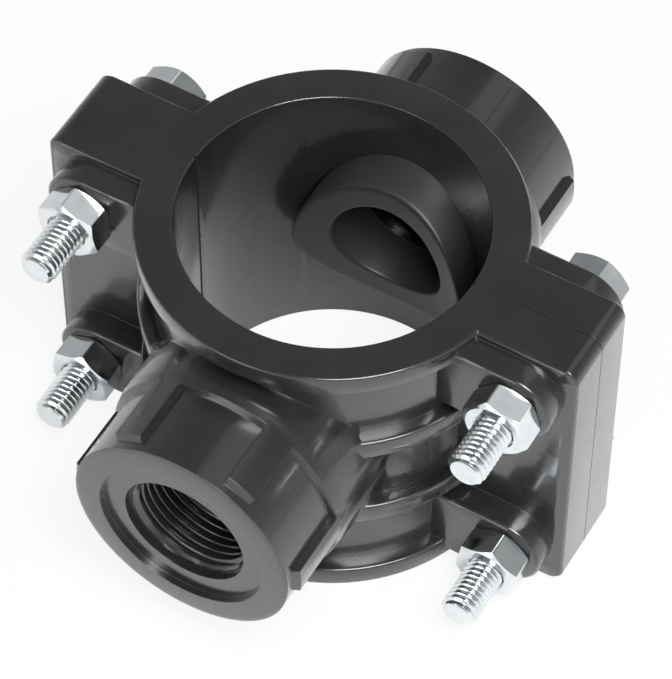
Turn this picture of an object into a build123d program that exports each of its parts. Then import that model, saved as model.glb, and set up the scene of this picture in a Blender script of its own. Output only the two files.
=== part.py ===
"""Clamp saddle with two female-threaded outlets, for 63 mm plastic pressure pipe.

Two equal moulded halves close round the pipe. Each carries a threaded socket and a rubber
gasket that seals the socket to the pipe, and four hexagon bolts with nuts draw the ears of
the two halves together. Millimetres. The origin is on the pipe's axis at the lower end
face, +Z runs along the pipe, +X along the ears, and the front outlet points along -Y.
"""

import os
from math import cos, radians, sin, sqrt, tan

from build123d import *

os.makedirs("parts", exist_ok=True)

# Ring round the pipe
pipe_d = 63.0
pipe_play = 0.15  # radial clearance from pipe to bore
height = 71.2
web_wall = 4.85  # wall of the ring between its bands
band_proud = 3.2  # the bands stand out of the web by this much
band_h = 5.0
band_count = 4  # two end lips and two ribs, at one pitch
band_edge = 0.55  # bevel along the edges of the bands
rim_edge = 0.45  # both mouths of the bore
seam_edge = 0.2  # bevel round the joint face between the halves

# M8 fasteners
bolt_d = 8.0
bolt_play = 0.4  # radial clearance of the bolt in its hole
bolt_tip = 0.9  # bevel at the bolt's end
tip_proud = 11.5  # the bolt's end stands past its nut by this much
hex_af = 13.0  # across flats, bolt head and nut
head_h = 5.3
nut_h = 6.5
nut_play = 0.05  # radial running clearance of nut to bolt
hex_chamfer = 30.0  # degrees, the cone that trims the corners of head and nut
hex_face = 0.95  # flat end face of head and nut, as a part of the width across flats

# Ears and bolt bosses
boss_margin = 1.35  # boss past the corners of the nut
boss_gap = 0.35  # boss to the lips of the ring
boss_proud = 5.8  # boss face in front of the ear
boss_edge = 0.75
boss_inset = 1.9  # boss to the end face
ear_t = 10.2  # thickness of the ear of one half
ear_margin = 2.75  # ear past the bosses
ear_corner_r = 3.2
ear_edge = 0.6

# G 3/4 outlet and its socket
thread_d = 26.44
thread_minor_d = 24.12
thread_relief = 0.43  # radial, counterbore to thread
counterbore = 2.0
mouth_recess = 1.5
mouth_rim = 5.8  # width of the raised rim round the mouth
mouth_edge = 1.2  # shallow bevel round the mouth, its width
mouth_edge_run = 0.35  # and its length along the barrel
outlet_reach = 20.3  # mouth past the lips
socket_wall = 4.05  # barrel wall outside the gasket pocket
collar_proud = 2.1  # collar past the barrel where it leaves the ring
collar_end_proud = 1.5
collar_reach = 3.6  # collar past the lips
collar_step = 0.7  # its end falls to the barrel over this length
grip_count = 6  # gripping ribs along the barrel
grip_arc = 15.0  # degrees
grip_gap = 1.2  # ribs stop short of the mouth
grip_slope = 1.8

# Gasket in its round pocket
seal_step = 0.94  # radial, gasket hole past the passage
seal_w = 7.3
seal_t = 10.35  # behind the crown of the bore
seal_play = 0.15

# Turn of each hexagon about its bolt's axis, from +X towards +Z, in degrees
nut_turns = {"upper_left": 38.5, "lower_left": 23.6, "upper_right": 47.0, "lower_right": 21.6}
head_turns = {"upper_left": 24.0, "lower_left": 40.0, "upper_right": 12.5, "lower_right": 5.0}

bore_r = pipe_d / 2 + pipe_play
web_r = bore_r + web_wall
lip_r = web_r + band_proud
band_pitch = (height - band_h) / (band_count - 1)

bolt_r = bolt_d / 2
hex_corner_r = hex_af / sqrt(3)
boss_r = hex_corner_r + boss_margin
boss_face = ear_t + boss_proud
bolt_x = lip_r + boss_gap + boss_r
bolt_z = {"lower": boss_inset + boss_r, "upper": height - boss_inset - boss_r}
ear_x = bolt_x + boss_r + ear_margin
bolt_len = 2 * boss_face + nut_h + tip_proud

axis_z = height / 2
mouth = lip_r + outlet_reach
passage_r = thread_minor_d / 2
seal_hole_r = passage_r + seal_step
seal_r = seal_hole_r + seal_w
pocket_r = seal_r + seal_play
pocket_floor = bore_r + seal_t
barrel_r = pocket_r + socket_wall
collar_r = barrel_r + collar_proud
collar_end = lip_r + collar_reach
grip_r = barrel_r + collar_end_proud
recess_r = barrel_r - mouth_rim
counterbore_r = thread_d / 2 + thread_relief
thread_top = mouth - mouth_recess - counterbore

outlet_axis = Axis((0, 0, axis_z), (0, -1, 0))


def outlet_plane(turn):
    """Half plane through the outlet's axis: x out of the mouth, y radial at this turn from +X."""
    t = radians(turn)
    return Plane(origin=(0, 0, axis_z), x_dir=(0, -1, 0), z_dir=(-sin(t), 0, cos(t)))


# One half: everything outside is built solid and joined, then the bore, the pocket, the
# outlet and the bolt holes are cut through it.
with BuildPart() as front_half:
    # Ear plate, one outline across both ears
    with BuildSketch(Plane.XZ):
        with Locations((0, axis_z)):
            RectangleRounded(2 * ear_x, height, ear_corner_r)
    extrude(amount=ear_t)
    chamfer(front_half.faces().sort_by(Axis.Y)[0].edges(), ear_edge)

    # Bolt bosses, one round-ended bar across both ears at each bolt level
    with BuildSketch(Plane.XZ):
        with Locations(*[(0, z) for z in bolt_z.values()]):
            SlotCenterToCenter(2 * bolt_x, 2 * boss_r)
    extrude(amount=boss_face)
    chamfer(front_half.faces().group_by(Axis.Y)[0].edges(), boss_edge)

    # Half ring with its lips and ribs, turned from one section
    with BuildSketch(Plane(origin=(0, 0, 0), x_dir=(-1, 0, 0), z_dir=(0, 1, 0))) as ring_section:
        Rectangle(web_r, height, align=(Align.MIN, Align.MIN))
        with Locations(*[(0, n * band_pitch) for n in range(band_count)]):
            Rectangle(lip_r, band_h, align=(Align.MIN, Align.MIN))
        chamfer(ring_section.vertices().group_by(Axis.X)[-1], band_edge)
    revolve(axis=Axis.Z, revolution_arc=180)

    # Socket: collar and barrel, then the gripping ribs
    with BuildSketch(outlet_plane(90)):
        with BuildLine():
            Polyline(
                (0, 0),
                (0, collar_r),
                (lip_r, collar_r),
                (collar_end - collar_step, grip_r),
                (collar_end, barrel_r),
                (mouth - mouth_edge_run, barrel_r),
                (mouth, barrel_r - mouth_edge),
                (mouth, 0),
                close=True,
            )
        make_face()
    revolve(axis=outlet_axis)
    grip_turns = [360 * n / grip_count - grip_arc / 2 for n in range(grip_count)]
    with BuildSketch(*[outlet_plane(turn) for turn in grip_turns]):
        with BuildLine():
            Polyline(
                (lip_r, passage_r),
                (lip_r, grip_r),
                (mouth - grip_gap - grip_slope, grip_r),
                (mouth - grip_gap, barrel_r - grip_slope),
                (mouth - grip_gap, passage_r),
                close=True,
            )
        make_face()
    revolve(axis=outlet_axis, revolution_arc=grip_arc)

    # Pipe bore, chamfered at both mouths
    with BuildSketch():
        Circle(bore_r)
    extrude(amount=height, mode=Mode.SUBTRACT)
    chamfer(front_half.edges().filter_by(GeomType.CIRCLE).filter_by(
        lambda e: abs(e.radius - bore_r) < 1e-4), rim_edge)

    # Gasket pocket, passage, counterbore and mouth recess
    with BuildSketch(outlet_plane(90)):
        with BuildLine():
            Polyline(
                (0, 0),
                (0, pocket_r),
                (pocket_floor, pocket_r),
                (pocket_floor, passage_r),
                (thread_top, passage_r),
                (thread_top, counterbore_r),
                (mouth - mouth_recess, counterbore_r),
                (mouth - mouth_recess, recess_r),
                (mouth, recess_r),
                (mouth, 0),
                close=True,
            )
        make_face()
    revolve(axis=outlet_axis, mode=Mode.SUBTRACT)

    # Bolt holes
    with BuildSketch(Plane.XZ):
        with Locations(*[(x, z) for x in (-bolt_x, bolt_x) for z in bolt_z.values()]):
            Circle(bolt_r + bolt_play)
    extrude(amount=boss_face, mode=Mode.SUBTRACT)

    # Edges of the joint face
    chamfer(front_half.faces().sort_by(Axis.Y)[-1].outer_wire().edges(), seam_edge)
front_half.part.label = "front_half"
export_step(front_half.part, "parts/front_half.step")

# The rear half is the same moulding, turned round
with BuildPart() as rear_half:
    add(front_half.part, rotation=(0, 0, 180))
rear_half.part.label = "rear_half"
export_step(rear_half.part, "parts/rear_half.step")

# Gasket: a thick ring, flat behind and hollowed to the pipe in front
with BuildPart() as front_gasket:
    with BuildSketch(outlet_plane(90)):
        with BuildLine():
            Polyline(
                (0, seal_hole_r),
                (0, seal_r),
                (pocket_floor, seal_r),
                (pocket_floor, seal_hole_r),
                close=True,
            )
        make_face()
    revolve(axis=outlet_axis)
    with BuildSketch():
        Circle(bore_r)
    extrude(amount=height, mode=Mode.SUBTRACT)
front_gasket.part.label = "front_gasket"
export_step(front_gasket.part, "parts/front_gasket.step")

with BuildPart() as rear_gasket:
    add(front_gasket.part, rotation=(0, 0, 180))
rear_gasket.part.label = "rear_gasket"
export_step(rear_gasket.part, "parts/rear_gasket.step")

# Bolts and nuts, each on a seat plane whose z points along the bolt towards its tip. A cone
# trims the corners of each hexagon where it meets a flat end.
face_r = hex_face * hex_af / 2
cone_run = 1 / tan(radians(hex_chamfer))


def seat_plane(place, y, turn):
    """Plane square to the bolt at this place, at this y, with its x turned from +X towards +Z."""
    level, side = place.split("_")
    x = bolt_x if side == "right" else -bolt_x
    t = radians(turn)
    return Plane((x, y, bolt_z[level]), x_dir=(cos(t), 0, sin(t)), z_dir=(0, -1, 0))


for place, turn in head_turns.items():
    seat = seat_plane(place, boss_face, turn)
    with BuildPart(seat) as bolt:
        with BuildSketch(seat):
            RegularPolygon(hex_af / 2, 6, major_radius=False)
        extrude(amount=-head_h)
        with Locations((0, 0, -head_h / 2)):
            Cone(face_r, face_r + head_h * cone_run, head_h, mode=Mode.INTERSECT)
        with BuildSketch(seat):
            Circle(bolt_r)
        extrude(amount=bolt_len)
        chamfer(bolt.faces().sort_by(Axis.Y)[0].edges(), bolt_tip)
    bolt.part.label = f"bolt_{place}"
    export_step(bolt.part, f"parts/bolt_{place}.step")

for place, turn in nut_turns.items():
    seat = seat_plane(place, -boss_face, turn)
    with BuildPart(seat) as nut:
        with BuildSketch(seat):
            RegularPolygon(hex_af / 2, 6, major_radius=False)
        extrude(amount=nut_h)
        with Locations((0, 0, nut_h / 2)):
            Cone(face_r, face_r + nut_h * cone_run, nut_h, mode=Mode.INTERSECT)
            Cone(face_r + nut_h * cone_run, face_r, nut_h, mode=Mode.INTERSECT)
        Hole(bolt_r + nut_play)
    nut.part.label = f"nut_{place}"
    export_step(nut.part, f"parts/nut_{place}.step")
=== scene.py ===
"""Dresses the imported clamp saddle: glossy moulded halves with cut pipe threads, zinc-plated
bolts and nuts with rolled threads, and rubber gaskets, on a white studio floor."""

from math import cos, hypot, pi, radians, sin, tan

import bmesh
import bpy
import numpy as np
from mathutils import Matrix, Vector


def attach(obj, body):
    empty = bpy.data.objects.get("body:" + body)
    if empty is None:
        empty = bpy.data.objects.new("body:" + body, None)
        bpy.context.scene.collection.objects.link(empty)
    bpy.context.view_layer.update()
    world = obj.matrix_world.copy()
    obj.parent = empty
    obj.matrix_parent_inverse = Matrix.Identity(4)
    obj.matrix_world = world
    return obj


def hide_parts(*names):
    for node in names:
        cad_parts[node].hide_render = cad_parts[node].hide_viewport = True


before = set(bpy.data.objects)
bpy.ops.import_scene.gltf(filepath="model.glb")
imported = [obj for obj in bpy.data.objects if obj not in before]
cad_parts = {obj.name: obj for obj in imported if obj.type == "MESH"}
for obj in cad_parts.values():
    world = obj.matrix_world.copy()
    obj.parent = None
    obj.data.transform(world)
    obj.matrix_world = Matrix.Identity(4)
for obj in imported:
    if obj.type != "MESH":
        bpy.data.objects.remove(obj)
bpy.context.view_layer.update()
MM = 0.001


# ---------------------------------------------------------------- camera
# The view looks down on the nut side from the front right, with the pipe bore upright and
# the front outlet turned to the lower left.
VIEW_AZIMUTH = radians(29.876)
VIEW_ELEVATION = radians(53.026)
VIEW_ROLL = radians(0.238)
VIEW_DISTANCE = 780.16 * MM
VIEW_AIM = Vector((0, 0, 39 * MM))
VIEW_SHIFT = (0.756 * MM, -4.496 * MM)  # of the aim, to the right and up in the picture
VIEW_LENS = 201.90221  # in millimetres, as the sensor is
VIEW_SENSOR = 36

towards = Vector((sin(VIEW_AZIMUTH) * cos(VIEW_ELEVATION),
                  -cos(VIEW_AZIMUTH) * cos(VIEW_ELEVATION), sin(VIEW_ELEVATION)))
across = Vector((cos(VIEW_AZIMUTH), sin(VIEW_AZIMUTH), 0))
upward = towards.cross(across)
aim = VIEW_AIM + across * VIEW_SHIFT[0] + upward * VIEW_SHIFT[1]
right = across * cos(VIEW_ROLL) + upward * sin(VIEW_ROLL)
above = upward * cos(VIEW_ROLL) - across * sin(VIEW_ROLL)

camera = bpy.data.objects.new("camera", bpy.data.cameras.new("camera"))
bpy.context.scene.collection.objects.link(camera)
camera.data.sensor_width = VIEW_SENSOR
camera.data.lens = VIEW_LENS
camera.matrix_world = Matrix.Translation(aim + towards * VIEW_DISTANCE) @ Matrix(
    (right, above, towards)).transposed().to_4x4()
camera.data.clip_start, camera.data.clip_end = 0.01, 20
bpy.context.scene.camera = camera


# ---------------------------------------------------------------- saddle halves
# Two equal halves moulded in black polypropylene, each a half ring with ears, bolt bosses
# and a socket. The socket's pipe thread is formed by a threaded core in the mould.
OUTLET_AXIS_Z = 35.6
PASSAGE_R = 12.06  # also the crest of the thread
THREAD_ROOT_R = 13.22
THREAD_PITCH = 1.814
THREAD_CONE_R = THREAD_ROOT_R + 0.1  # rim of the cone that opens the thread's mouth
COUNTERBORE_R = 13.65
POCKET_FLOOR = 42.0  # this and the next two are measured out from the joint of the halves
THREAD_END = 43.6
THREAD_MOUTH = 56.5
THREAD_FADE_TURNS = 1.5
THREAD_STEPS = 72  # points in one turn of the thread
LEDGE_STEPS = 96
LEDGE_LAP = 0.002  # the ledge laps into the counterbore's wall, so that no gap shows
ON_SURFACE = 0.02  # a face of the solid this near to a surface belongs to it
SAME_POINT = 1e-6  # in metres


def new_nodes(name):
    """A new material, with its node tree and its surface shader."""
    material = bpy.data.materials.new(name)
    material.use_nodes = True
    tree = material.node_tree
    return material, tree, tree.nodes["Principled BSDF"]


def add_node(tree, kind, **values):
    """A node of this kind, with plain attributes and, by name or number, input values set."""
    node = tree.nodes.new(kind)
    for key, value in values.pop("inputs", {}).items():
        node.inputs[key].default_value = value
    for key, value in values.items():
        setattr(node, key, value)
    return node


def wire(tree, *links):
    """Links nodes, each link given as a node and its output, then a node and its input."""
    for start, outlet, end, inlet in links:
        tree.links.new(start.outputs[outlet], end.inputs[inlet])


def moulded_grain():
    """Group: a mask of soft mottling, and a height for the fine texture that a mould leaves,
    both in object space."""
    group = bpy.data.node_groups.new("moulded_grain", "ShaderNodeTree")
    for name, value in (("Scale", 900.0), ("Depth", 0.1)):
        socket = group.interface.new_socket(name, in_out="INPUT", socket_type="NodeSocketFloat")
        socket.default_value = value
    for name in ("Mottle", "Height"):
        group.interface.new_socket(name, in_out="OUTPUT", socket_type="NodeSocketFloat")
    source = add_node(group, "NodeGroupInput")
    sink = add_node(group, "NodeGroupOutput")
    place = add_node(group, "ShaderNodeTexCoord")
    fine = add_node(group, "ShaderNodeTexNoise", inputs={"Detail": 4.0, "Roughness": 0.6})
    broad = add_node(group, "ShaderNodeTexNoise", inputs={"Scale": 90.0, "Detail": 5.0})
    depth = add_node(group, "ShaderNodeMath", operation="MULTIPLY")
    wire(group,
         (place, "Object", fine, "Vector"),
         (place, "Object", broad, "Vector"),
         (source, "Scale", fine, "Scale"),
         (fine, "Fac", depth, 0),
         (source, "Depth", depth, 1),
         (depth, 0, sink, "Height"),
         (broad, "Fac", sink, "Mottle"))
    return group


grain = moulded_grain()


def place_grain(tree, scale, depth):
    """The moulded grain as a node of this material, with its own scale and depth."""
    node = add_node(tree, "ShaderNodeGroup", node_tree=grain)
    node.inputs["Scale"].default_value = scale
    node.inputs["Depth"].default_value = depth
    return node


def two_tones(tree, low, high, low_at=0.0, high_at=1.0):
    """A ramp from the low colour to the high one, between these two values of its mask."""
    ramp = add_node(tree, "ShaderNodeValToRGB")
    for step, value, tone in zip(ramp.color_ramp.elements, (low_at, high_at), (low, high)):
        step.position = value
        step.color = (*tone, 1)
    return ramp


plastic, tree, shader = new_nodes("black_polypropylene")
texture = place_grain(tree, 1400.0, 0.5)
tint = two_tones(tree, (0.016, 0.016, 0.018), (0.021, 0.021, 0.0235), 0.35, 0.7)
gloss = add_node(tree, "ShaderNodeMapRange", inputs={"From Min": 0.3, "From Max": 0.75,
                                                    "To Min": 0.22, "To Max": 0.32})
soft = add_node(tree, "ShaderNodeBevel", samples=6, inputs={"Radius": 0.0004})
waves = add_node(tree, "ShaderNodeBump", inputs={"Strength": 0.07, "Distance": 0.0003})
bump = add_node(tree, "ShaderNodeBump", inputs={"Strength": 0.06, "Distance": 0.0001})
wire(tree,
     (texture, "Mottle", tint, "Fac"),
     (texture, "Mottle", gloss, "Value"),
     (soft, "Normal", waves, "Normal"),
     (texture, "Mottle", waves, "Height"),
     (waves, "Normal", bump, "Normal"),
     (texture, "Height", bump, "Height"),
     (bump, "Normal", shader, "Normal"))

# The halves meet in the bore along a thin dark line of painted shade, standing for the gap
# between them: within 0.45 mm of their joint, and less than 32.3 mm from the middle, the
# plastic loses its colour and its coat and turns dull.
place = add_node(tree, "ShaderNodeTexCoord")
axes = add_node(tree, "ShaderNodeSeparateXYZ")
from_joint = add_node(tree, "ShaderNodeMath", operation="ABSOLUTE")
from_middle = add_node(tree, "ShaderNodeMath", operation="ABSOLUTE")
gap = add_node(tree, "ShaderNodeMapRange", inputs={"From Min": 0.0002, "From Max": 0.00045,
                                                  "To Min": 1.0, "To Max": 0.0})
in_bore = add_node(tree, "ShaderNodeMath", operation="LESS_THAN", inputs={1: 0.0323})
joint = add_node(tree, "ShaderNodeMath", operation="MULTIPLY")
# One outside the painted gap shade and none in it; it scales the plastic's colour and coat
clear_of_gap_shade = add_node(tree, "ShaderNodeMath", operation="SUBTRACT", inputs={0: 1.0})
shaded = add_node(tree, "ShaderNodeVectorMath", operation="SCALE")
dull = add_node(tree, "ShaderNodeMath", operation="MULTIPLY_ADD", inputs={1: 0.6})
wire(tree,
     (place, "Object", axes, 0),
     (axes, "Y", from_joint, 0),
     (axes, "X", from_middle, 0),
     (from_joint, 0, gap, "Value"),
     (from_middle, 0, in_bore, 0),
     (gap, "Result", joint, 0),
     (in_bore, 0, joint, 1),
     (joint, 0, clear_of_gap_shade, 1),
     (tint, "Color", shaded, 0),
     (clear_of_gap_shade, 0, shaded, "Scale"),
     (joint, 0, dull, 0),
     (gloss, "Result", dull, 2),
     (shaded, "Vector", shader, "Base Color"),
     (dull, 0, shader, "Roughness"),
     (clear_of_gap_shade, 0, shader, "Coat Weight"))
shader.inputs["Coat Roughness"].default_value = 0.12
shader.inputs["Coat IOR"].default_value = 1.5


def link_mesh(name, points, faces, material):
    """A new object at the origin from points in millimetres and faces as index rows."""
    mesh = bpy.data.meshes.new(name)
    mesh.from_pydata((np.asarray(points) * MM).tolist(), [], np.asarray(faces).tolist())
    mesh.validate()
    thing = bpy.data.objects.new(name, mesh)
    bpy.context.scene.collection.objects.link(thing)
    mesh.materials.append(material)
    return thing


def smooth_under(thing, degrees):
    """Smooth shading, with a sharp edge where faces meet at more than this angle."""
    thing.data.shade_smooth()
    thing.data.set_sharp_from_angle(angle=radians(degrees))


def clean_mesh(thing, weld=True, outwards=True):
    """Merges equal points and drops faces with no area, and turns a closed mesh outwards."""
    made = bmesh.new()
    made.from_mesh(thing.data)
    if weld:
        bmesh.ops.remove_doubles(made, verts=made.verts, dist=SAME_POINT)
        bmesh.ops.dissolve_degenerate(made, dist=SAME_POINT, edges=made.edges)
    if outwards:
        bmesh.ops.recalc_face_normals(made, faces=made.faces)
    made.to_mesh(thing.data)
    made.free()


def grid_faces(rows, columns, wrap=False, close=False):
    """Quads of a rows x columns grid of points, listed row by row. wrap joins the last column
    to the first, and close joins the last row to the first."""
    i, j = np.meshgrid(np.arange(rows if close else rows - 1),
                       np.arange(columns if wrap else columns - 1), indexing="ij")
    below, beside = (i + 1) % rows, (j + 1) % columns
    return np.stack([i * columns + j, i * columns + beside, below * columns + beside,
                     below * columns + j], axis=-1).reshape(-1, 4)


def joined(*parts):
    """Points and faces of one mesh from several pairs of points and faces."""
    starts = np.cumsum([0] + [len(points) for points, _ in parts])
    return (np.concatenate([points for points, _ in parts]),
            np.concatenate([faces + start for (_, faces), start in zip(parts, starts)]))


def helix_strip(profile, pitch, low, high, per_turn, trim):
    """Thread surface: point (a, p) lies at turn a, at the radius of profile point p, and at
    its height + pitch * a / (2 pi). The height is held between low and high, and the radius
    is passed through trim(radius, height). One strip winds through all turns."""
    rise, radius = np.asarray(profile).T
    turns = int(np.ceil((high - low) / pitch)) + 2
    turn = np.arange(turns * per_turn + 1)[:, None] * 2 * pi / per_turn
    height = np.clip(low - pitch + rise + pitch * turn / (2 * pi), low, high)
    return np.broadcast_to(turn, height.shape), trim(radius, height), height


# Pipe thread near the 55 degree form: a cosine made steeper, flat at its crests and roots
along = np.linspace(0, 1, 13)
wave = np.clip(0.5 - 0.5 * 1.25 * np.cos(2 * pi * along), 0.03, 0.97)
outlet_profile = np.stack([along * THREAD_PITCH,
                           PASSAGE_R + (THREAD_ROOT_R - PASSAGE_R) * wave], axis=1)


def outlet_trim(radius, height):
    """The thread fades into the plain passage over its last turn and a half, and its mouth is
    opened by a 45 degree cone."""
    fade = np.clip((height - THREAD_END) / (THREAD_FADE_TURNS * THREAD_PITCH), 0, 1)
    cone = THREAD_CONE_R - (THREAD_MOUTH - height)
    return np.maximum(PASSAGE_R + (radius - PASSAGE_R) * fade, cone)


def moulded_half(name):
    """The half's moulding: a merged copy of its solid's mesh, without the passage's plain
    wall and the ledge at its mouth, which the thread's own surface takes over."""
    made = bmesh.new()
    made.from_mesh(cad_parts[name].data)
    plain = []
    for face in made.faces:
        radii = [hypot(v.co.x / MM, v.co.z / MM - OUTLET_AXIS_Z) for v in face.verts]
        depths = [abs(v.co.y / MM) for v in face.verts]
        wall = (PASSAGE_R - ON_SURFACE < min(radii) and max(radii) < PASSAGE_R + ON_SURFACE
                and POCKET_FLOOR - ON_SURFACE < min(depths)
                and max(depths) < THREAD_MOUTH + ON_SURFACE)
        ledge = (max(radii) < COUNTERBORE_R + ON_SURFACE
                 and max(abs(depth - THREAD_MOUTH) for depth in depths) < ON_SURFACE)
        if wall or ledge:
            plain.append(face)
    bmesh.ops.delete(made, geom=plain, context="FACES")
    bmesh.ops.remove_doubles(made, verts=made.verts, dist=SAME_POINT)
    made.verts.index_update()
    points = [v.co / MM for v in made.verts]
    faces = [[v.index for v in face.verts] for face in made.faces]
    made.free()
    half = link_mesh(name + "_moulding", points, faces, plastic)
    smooth_under(half, 50)
    # Large flat faces lead the shading, which keeps them flat beside the rounded edges
    edge_shading = half.modifiers.new("edge_shading", "WEIGHTED_NORMAL")
    edge_shading.keep_sharp = True
    edge_shading.mode = "FACE_AREA_WITH_ANGLE"
    edge_shading.weight = 80
    return half


def outlet_thread(name, facing):
    """The thread about the outlet's axis, with a flat ledge from the counterbore in to the
    thread's cone: a point lies at its radius and turn about that axis, and at its depth out
    from the joint. facing is -1 for the front outlet and 1 for the rear one."""
    turn, radius, depth = helix_strip(outlet_profile, THREAD_PITCH, POCKET_FLOOR, THREAD_MOUTH,
                                      THREAD_STEPS, outlet_trim)
    ledge_turn, ledge_r = np.meshgrid(np.arange(LEDGE_STEPS) * 2 * pi / LEDGE_STEPS,
                                      [COUNTERBORE_R + LEDGE_LAP, THREAD_CONE_R])

    def about_outlet(turn, radius, depth):
        return np.stack([radius * np.cos(turn) * -facing, depth * facing,
                         OUTLET_AXIS_Z + radius * np.sin(turn)], -1).reshape(-1, 3)

    points, faces = joined(
        (about_outlet(turn, radius, depth), grid_faces(*turn.shape)[:, ::-1]),
        (about_outlet(ledge_turn, ledge_r, np.full_like(ledge_r, THREAD_MOUTH)),
         grid_faces(*ledge_turn.shape, wrap=True)))
    thread = link_mesh(name, points, faces, plastic)
    clean_mesh(thread, outwards=False)
    smooth_under(thread, 30)
    return thread


for name, body, facing in (("front_half", "front_assembly", -1),
                           ("rear_half", "rear_assembly", 1)):
    half = moulded_half(name)
    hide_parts(name)
    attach(half, body)
    thread = outlet_thread(name + "_outlet_thread", facing)
    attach(thread, body)


# ---------------------------------------------------------------- gaskets
# Thick rings of dark grey rubber, hollowed to the pipe, pushed into the round pocket behind
# each outlet. The rear one stands out of its pocket and leans, until a pipe pushes it home.
GASKET_R = (13.0, 20.3)  # hole and outside
GASKET_ROUND = (0.6, 1.0)  # radius of the face's edges at the hole and at the outside
GASKET_FACE_R = 31.65  # of the pipe that the face follows
GASKET_STEPS = 96
GASKET_PIVOT = POCKET_FLOOR - 5  # middle of its thickness, about which it leans

rubber, tree, shader = new_nodes("gasket_rubber")
texture = place_grain(tree, 2600.0, 0.6)
tint = two_tones(tree, (0.022, 0.0215, 0.021), (0.038, 0.0365, 0.035))
soft = add_node(tree, "ShaderNodeBevel", samples=4, inputs={"Radius": 0.0004})
bump = add_node(tree, "ShaderNodeBump", inputs={"Strength": 0.25, "Distance": 0.0001})
wire(tree,
     (texture, "Mottle", tint, "Fac"),
     (soft, "Normal", bump, "Normal"),
     (texture, "Height", bump, "Height"),
     (tint, "Color", shader, "Base Color"),
     (bump, "Normal", shader, "Normal"))
shader.inputs["Roughness"].default_value = 0.4


def gasket_ring(name, facing, out, lean):
    """Ring about the outlet's axis: point (t, p) has the polar angle t, and a radius and
    depth from a closed profile. The profile's face follows a pipe, at the depth
    sqrt(face_r^2 - (r cos t)^2), with rounded edges. The ring then leans about X by so many
    degrees, slides out of its pocket by so many millimetres, and is turned to its side."""
    t = (np.arange(GASKET_STEPS) * 2 * pi / GASKET_STEPS)[:, None]
    hole, outside = GASKET_R
    inner, outer = GASKET_ROUND
    edge = np.radians([0, 30, 60, 90])
    face_r = np.concatenate([hole + inner * (1 - np.cos(edge)),
                             np.linspace(hole + 2 * inner, outside - 2 * outer, 8),
                             outside - outer * (1 - np.sin(edge))])
    drop = np.concatenate([inner * (1 - np.sin(edge)), np.zeros(8),
                           outer * (1 - np.cos(edge))])
    face = np.sqrt(GASKET_FACE_R ** 2 - (face_r * np.cos(t)) ** 2) + drop
    back = np.full((GASKET_STEPS, 2), POCKET_FLOOR)
    radius = np.append(face_r, [outside, hole])
    depth = np.hstack([face, back]) - GASKET_PIVOT
    x, z = radius * np.cos(t), radius * np.sin(t)
    turn = radians(lean)
    y = GASKET_PIVOT - out + depth * cos(turn) - z * sin(turn)
    z = z * cos(turn) + depth * sin(turn)
    points = np.stack([facing * x, facing * y, OUTLET_AXIS_Z + z], -1).reshape(-1, 3)
    ring = link_mesh(name + "_ring", points, grid_faces(*x.shape, wrap=True, close=True), rubber)
    smooth_under(ring, 40)
    clean_mesh(ring, weld=False)
    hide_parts(name)
    return ring


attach(gasket_ring("front_gasket", -1, 0, 0), "front_assembly")
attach(gasket_ring("rear_gasket", 1, 7.1, 5.5), "rear_assembly")


# ---------------------------------------------------------------- bolts and nuts
# M8 hexagon bolts and nuts of cold-formed steel with rolled threads, zinc plated and passed
# through the ears from the rear, nuts at the front.
BOLT_R = 4.0
BOLT_CORE_R = 3.3
BOLT_PITCH = 1.25
BOLT_STEPS = 48  # points round the shank, and in one turn of its thread
SEAT = 16.0  # heads and nuts sit this far behind and in front of the joint of the halves
THREAD_START = 9.0  # this and the tip are in front of the joint
BOLT_TIP = 34.0
RUN_OUT = 1.5  # length over which the thread rises into the shank
TIP_BEVEL = 0.9
HEX_AF = 13.0  # across flats, of heads and nuts
HEX_FACE_R = 0.95 * HEX_AF / 2  # of the round face inside the trimmed corners
HEX_STEPS = 144
HEAD_H = 5.3
NUT_H = 6.5
NUT_BORE_R = 4.05
NUT_SINK = 0.45  # countersink at both ends of the nut's bore
# X and Z of each bolt's axis, then the turns of its nut and its head, in degrees
PLACES = {
    "upper_left": (-48.906, 60.444, 38.5, 24.0),
    "lower_left": (-48.906, 10.756, 23.6, 40.0),
    "upper_right": (48.906, 60.444, 47.0, 12.5),
    "lower_right": (48.906, 10.756, 21.6, 5.0),
}
# Height along the bolt and radius over one pitch, with flat roots and narrow rounded crests
bolt_profile = [(0.0, BOLT_CORE_R), (0.30, BOLT_CORE_R), (0.70, BOLT_R - 0.03),
                (0.73, BOLT_R), (0.82, BOLT_R), (0.85, BOLT_R - 0.03), (1.25, BOLT_CORE_R)]

zinc, tree, shader = new_nodes("zinc_plate")
place = add_node(tree, "ShaderNodeTexCoord")
cloud = add_node(tree, "ShaderNodeTexNoise", inputs={"Scale": 260.0, "Detail": 5.0})
fine = add_node(tree, "ShaderNodeTexNoise", inputs={"Scale": 3000.0, "Detail": 3.0})
tint = two_tones(tree, (0.74, 0.79, 0.82), (0.90, 0.92, 0.92), 0.35, 0.7)
shine = add_node(tree, "ShaderNodeMapRange", inputs={"From Min": 0.3, "From Max": 0.75,
                                                    "To Min": 0.10, "To Max": 0.24})
soft = add_node(tree, "ShaderNodeBevel", samples=4, inputs={"Radius": 0.00007})
bump = add_node(tree, "ShaderNodeBump", inputs={"Strength": 0.08, "Distance": 0.00005})
wire(tree,
     (place, "Object", cloud, "Vector"),
     (place, "Object", fine, "Vector"),
     (cloud, "Fac", tint, "Fac"),
     (cloud, "Fac", shine, "Value"),
     (soft, "Normal", bump, "Normal"),
     (fine, "Fac", bump, "Height"),
     (tint, "Color", shader, "Base Color"),
     (shine, "Result", shader, "Roughness"),
     (bump, "Normal", shader, "Normal"))
shader.inputs["Metallic"].default_value = 1.0


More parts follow.
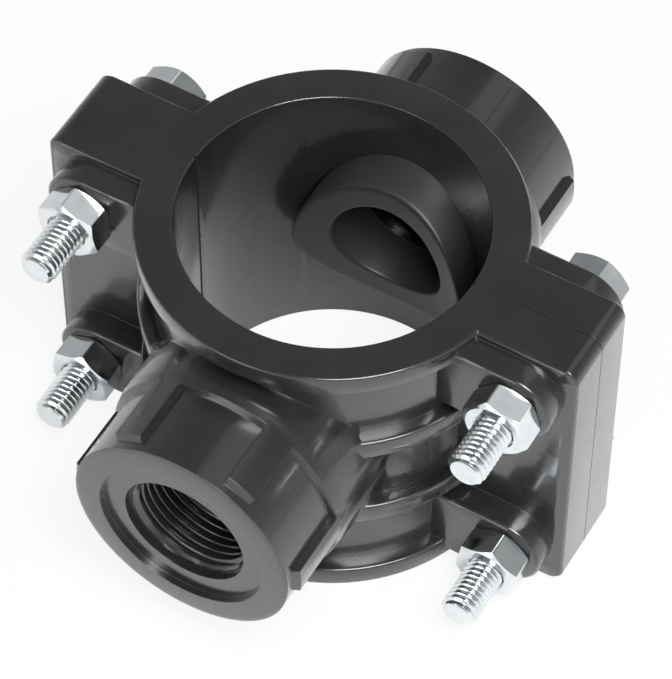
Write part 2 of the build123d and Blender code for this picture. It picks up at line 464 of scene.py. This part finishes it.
def about_bolt(axis, y, radius, angle, wrap=True):
    """Points at these radii and angles about a bolt's axis, given as its X and Z, and the
    faces of their grid."""
    y, radius, angle = np.broadcast_arrays(y, radius, angle)
    points = np.stack([axis[0] + radius * np.cos(angle), y,
                       axis[1] + radius * np.sin(angle)], -1)
    return points.reshape(-1, 3), grid_faces(*angle.shape, wrap=wrap)


def hexagon_rings(y_low, y_high, turn, hole, low_cone=True):
    """Hexagon prism as rings of points (y, radius, angle), whose side is at the distance
    af / 2 / cos(angle from the middle of its flat). Each flat end runs from the hole to the
    round face, from which a cone falls at 30 degrees to the side. The low end can do without
    its cone."""
    angle = np.arange(HEX_STEPS) * 2 * pi / HEX_STEPS
    side = HEX_AF / 2 / np.cos((angle - radians(turn)) % (pi / 3) - pi / 6)
    corner = side - HEX_FACE_R
    drop = corner * tan(radians(30))
    cone = [(0 * drop, HEX_FACE_R), (drop / 2, HEX_FACE_R + corner / 2), (drop, side)]
    low_end = cone if low_cone else [(0, HEX_FACE_R), (0, side)]
    rings = [(y_low, hole), *((y_low + fall, radius) for fall, radius in low_end),
             *((y_high - fall, radius) for fall, radius in reversed(cone)), (y_high, hole)]
    y = np.stack([np.broadcast_to(height, angle.shape) for height, _ in rings])
    radius = np.stack([np.broadcast_to(reach, angle.shape) for _, reach in rings])
    return y, radius, np.broadcast_to(angle, y.shape)


def bolt_trim(radius, height):
    """The bolt's end is bevelled at 45 degrees, and the thread runs out into the shank."""
    tip = BOLT_R - TIP_BEVEL + (BOLT_TIP - height)
    run_out = BOLT_R - (height - THREAD_START) / RUN_OUT
    return np.maximum(np.minimum(radius, np.maximum(tip, 0)), np.minimum(run_out, BOLT_R))


def bolt_mesh(axis, head_turn):
    """Points and faces of a bolt: head, thread, plain shank, and the flat of its tip."""
    turn, radius, height = helix_strip(bolt_profile, BOLT_PITCH, THREAD_START, BOLT_TIP,
                                       BOLT_STEPS, bolt_trim)
    rim = np.arange(BOLT_STEPS) * 2 * pi / BOLT_STEPS
    tip_r = BOLT_R - TIP_BEVEL
    return joined(
        about_bolt(axis, *hexagon_rings(SEAT, SEAT + HEAD_H, head_turn, 0, low_cone=False)),
        about_bolt(axis, -height, radius, turn, wrap=False),
        about_bolt(axis, np.array([[SEAT], [-THREAD_START]]), BOLT_R, rim),
        about_bolt(axis, -BOLT_TIP, np.array([[tip_r], [0.55 * tip_r], [0]]), rim))


def nut_mesh(axis, turn):
    """Points and faces of a nut: its hexagon, and its bore with both countersinks."""
    y, radius, angle = hexagon_rings(-SEAT - NUT_H, -SEAT, turn, NUT_BORE_R + NUT_SINK)
    bore_y = np.broadcast_to([[-SEAT - NUT_SINK], [-SEAT - NUT_H + NUT_SINK]], angle[:2].shape)
    return about_bolt(axis, np.concatenate([y, bore_y, y[:1]]),
                      np.concatenate([radius, np.full(bore_y.shape, NUT_BORE_R), radius[:1]]),
                      np.concatenate([angle, angle[:3]]))


for place, (x, z, nut_turn, head_turn) in PLACES.items():
    bolt = link_mesh(f"bolt_{place}_steel", *bolt_mesh((x, z), head_turn), zinc)
    clean_mesh(bolt)
    smooth_under(bolt, 28)
    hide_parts(f"bolt_{place}")
    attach(bolt, "rear_assembly")

    nut = link_mesh(f"nut_{place}_steel", *nut_mesh((x, z), nut_turn), zinc)
    clean_mesh(nut)
    smooth_under(nut, 25)
    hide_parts(f"nut_{place}")
    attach(nut, f"nut_{place}")


# ---------------------------------------------------------------- studio
# A white floor under one soft key light, high on the right, with weaker ones in front,
# beside and behind, and a sky that is darker overhead, as for catalogue pictures.
FLOOR_REACH = 6000.0  # millimetres from the middle to each side
FLOOR_DROP = 0.05  # millimetres, which keep the floor clear of the lower end face
LAMP_AIM = Vector((0, 0, 0.03))  # in metres

scene = bpy.context.scene
scene.view_settings.view_transform = "Standard"

# The floor glows for the camera and, weakly, in reflections, and still takes a shadow
floor_white, tree, shader = new_nodes("studio_floor")
shader.inputs["Base Color"].default_value = (0.85, 0.85, 0.85, 1)
shader.inputs["Roughness"].default_value = 0.9
seen = add_node(tree, "ShaderNodeLightPath")
white_share = add_node(tree, "ShaderNodeMath", operation="MULTIPLY", inputs={1: 0.88})
glossy_share = add_node(tree, "ShaderNodeMath", operation="MULTIPLY", inputs={1: 0.15})
direct = add_node(tree, "ShaderNodeMath", operation="MAXIMUM")
white = add_node(tree, "ShaderNodeEmission", inputs={"Strength": 1.0})
blend = add_node(tree, "ShaderNodeMixShader")
wire(tree,
     (seen, "Is Camera Ray", white_share, 0),
     (seen, "Is Glossy Ray", glossy_share, 0),
     (white_share, 0, direct, 0),
     (glossy_share, 0, direct, 1),
     (direct, 0, blend, "Fac"),
     (shader, "BSDF", blend, 1),
     (white, "Emission", blend, 2),
     (blend, "Shader", tree.nodes["Material Output"], "Surface"))
floor_corners = np.array([(-1, -1, 0), (1, -1, 0), (1, 1, 0), (-1, 1, 0)]) * FLOOR_REACH
floor = link_mesh("studio_floor", floor_corners - (0, 0, FLOOR_DROP), [(0, 1, 2, 3)],
                  floor_white)

# The sky is white to the camera; its light falls off from the horizon to overhead
world = bpy.data.worlds.new("studio")
scene.world = world
world.use_nodes = True
tree = world.node_tree
sky = tree.nodes["Background"]
sky.inputs["Color"].default_value = (1, 1, 1, 1)
seen = add_node(tree, "ShaderNodeLightPath")
direction = add_node(tree, "ShaderNodeTexCoord")
split = add_node(tree, "ShaderNodeSeparateXYZ")
level = two_tones(tree, (0.8, 0.8, 0.8), (0.17, 0.17, 0.17))
for height, value in ((0.15, 0.5), (0.5, 0.28), (0.8, 0.17)):
    step = level.color_ramp.elements.new(height)
    step.color = (value, value, value, 1)
pick = add_node(tree, "ShaderNodeMath", operation="MAXIMUM")
wire(tree,
     (direction, "Generated", split, 0),
     (split, "Z", level, "Fac"),
     (level, "Color", pick, 0),
     (seen, "Is Camera Ray", pick, 1),
     (pick, 0, sky, "Strength"))


def soft_box(name, place, size, power):
    """A square area lamp at this place, in metres, turned towards the saddle."""
    lamp = bpy.data.objects.new(name, bpy.data.lights.new(name, "AREA"))
    scene.collection.objects.link(lamp)
    lamp.data.size = size
    lamp.data.energy = power
    lamp.location = place
    lamp.rotation_euler = (LAMP_AIM - lamp.location).to_track_quat("-Z", "Y").to_euler()


soft_box("key", (0.45, -0.35, 1.0), 0.5, 13.5)
soft_box("front", (-0.3, -1.1, 0.3), 0.5, 2)
soft_box("side", (1.0, -0.2, 0.55), 0.5, 0.5)
soft_box("back", (0.3, 0.62, 1.0), 0.55, 0.45)
